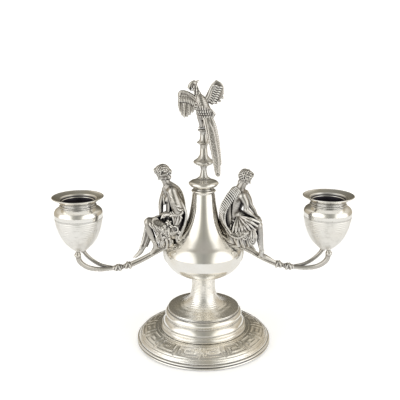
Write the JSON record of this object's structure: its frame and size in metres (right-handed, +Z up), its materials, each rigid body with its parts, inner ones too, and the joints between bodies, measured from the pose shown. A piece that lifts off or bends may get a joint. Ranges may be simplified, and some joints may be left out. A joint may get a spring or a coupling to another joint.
{
  "type": "silver candelabrum",
  "caption": "Figural table candelabrum: pear-shaped body on a trumpet stem and domed foot, forked branches under urn sockets with lift-out nozzles, seated figures and a bird finial.",
  "frame": {"origin": "on the ground under the stem's axis, at the bottom centre of the bounding box", "axes": "+X along the branches towards the right-hand socket, +Y from front to back, +Z up"},
  "size_m": [0.2252, 0.104, 0.2016],
  "materials": {
    "polished_silver": "polished silver, warm and lightly tarnished",
    "matted_silver": "silver with an engine-turned matt ground",
    "cast_silver": "cast and chased silver, dark in its recesses",
    "nozzle_silver": "polished silver, warm inside the pan",
    "fixing_steel": "plain"
  },
  "bodies": {
    "stand": {"foot_rim_wire": "polished_silver", "foot_dome": "matted_silver", "step_moulding": "polished_silver", "stem_trumpet": "matted_silver", "body_bowl": "polished_silver", "body_upper": "polished_silver", "neck_ring": "polished_silver", "collar_disc": "polished_silver", "finial_spindle": "polished_silver", "perch_disc": "polished_silver", "tie_rod": "fixing_steel", "clamp_washer": "fixing_steel", "clamp_nut": "fixing_steel", "left_branch_beam": "cast_silver", "left_branch_knot": "cast_silver", "left_branch_fork": "cast_silver", "left_root_leaf": "cast_silver", "left_urn_socket": "matted_silver", "right_branch_beam": "cast_silver", "right_branch_knot": "cast_silver", "right_branch_fork": "cast_silver", "right_root_leaf": "cast_silver", "right_urn_socket": "matted_silver", "left_figure": "cast_silver", "left_figure_flowers": "cast_silver", "right_figure": "cast_silver", "right_figure_cloak": "cast_silver", "bird_body": "cast_silver", "bird_left_wing": "cast_silver", "bird_right_wing": "cast_silver", "bird_tail": "cast_silver"},
    "left_nozzle": {"left_candle_nozzle": "nozzle_silver"},
    "right_nozzle": {"right_candle_nozzle": "nozzle_silver"}
  },
  "joints": [
    {"name": "left_nozzle_lift", "type": "slide", "parent": "stand", "child": "left_nozzle", "axis": [0, 0, 1], "range_m": [0, 0.05]},
    {"name": "right_nozzle_lift", "type": "slide", "parent": "stand", "child": "right_nozzle", "axis": [0, 0, 1], "range_m": [0, 0.05]}
  ]
}
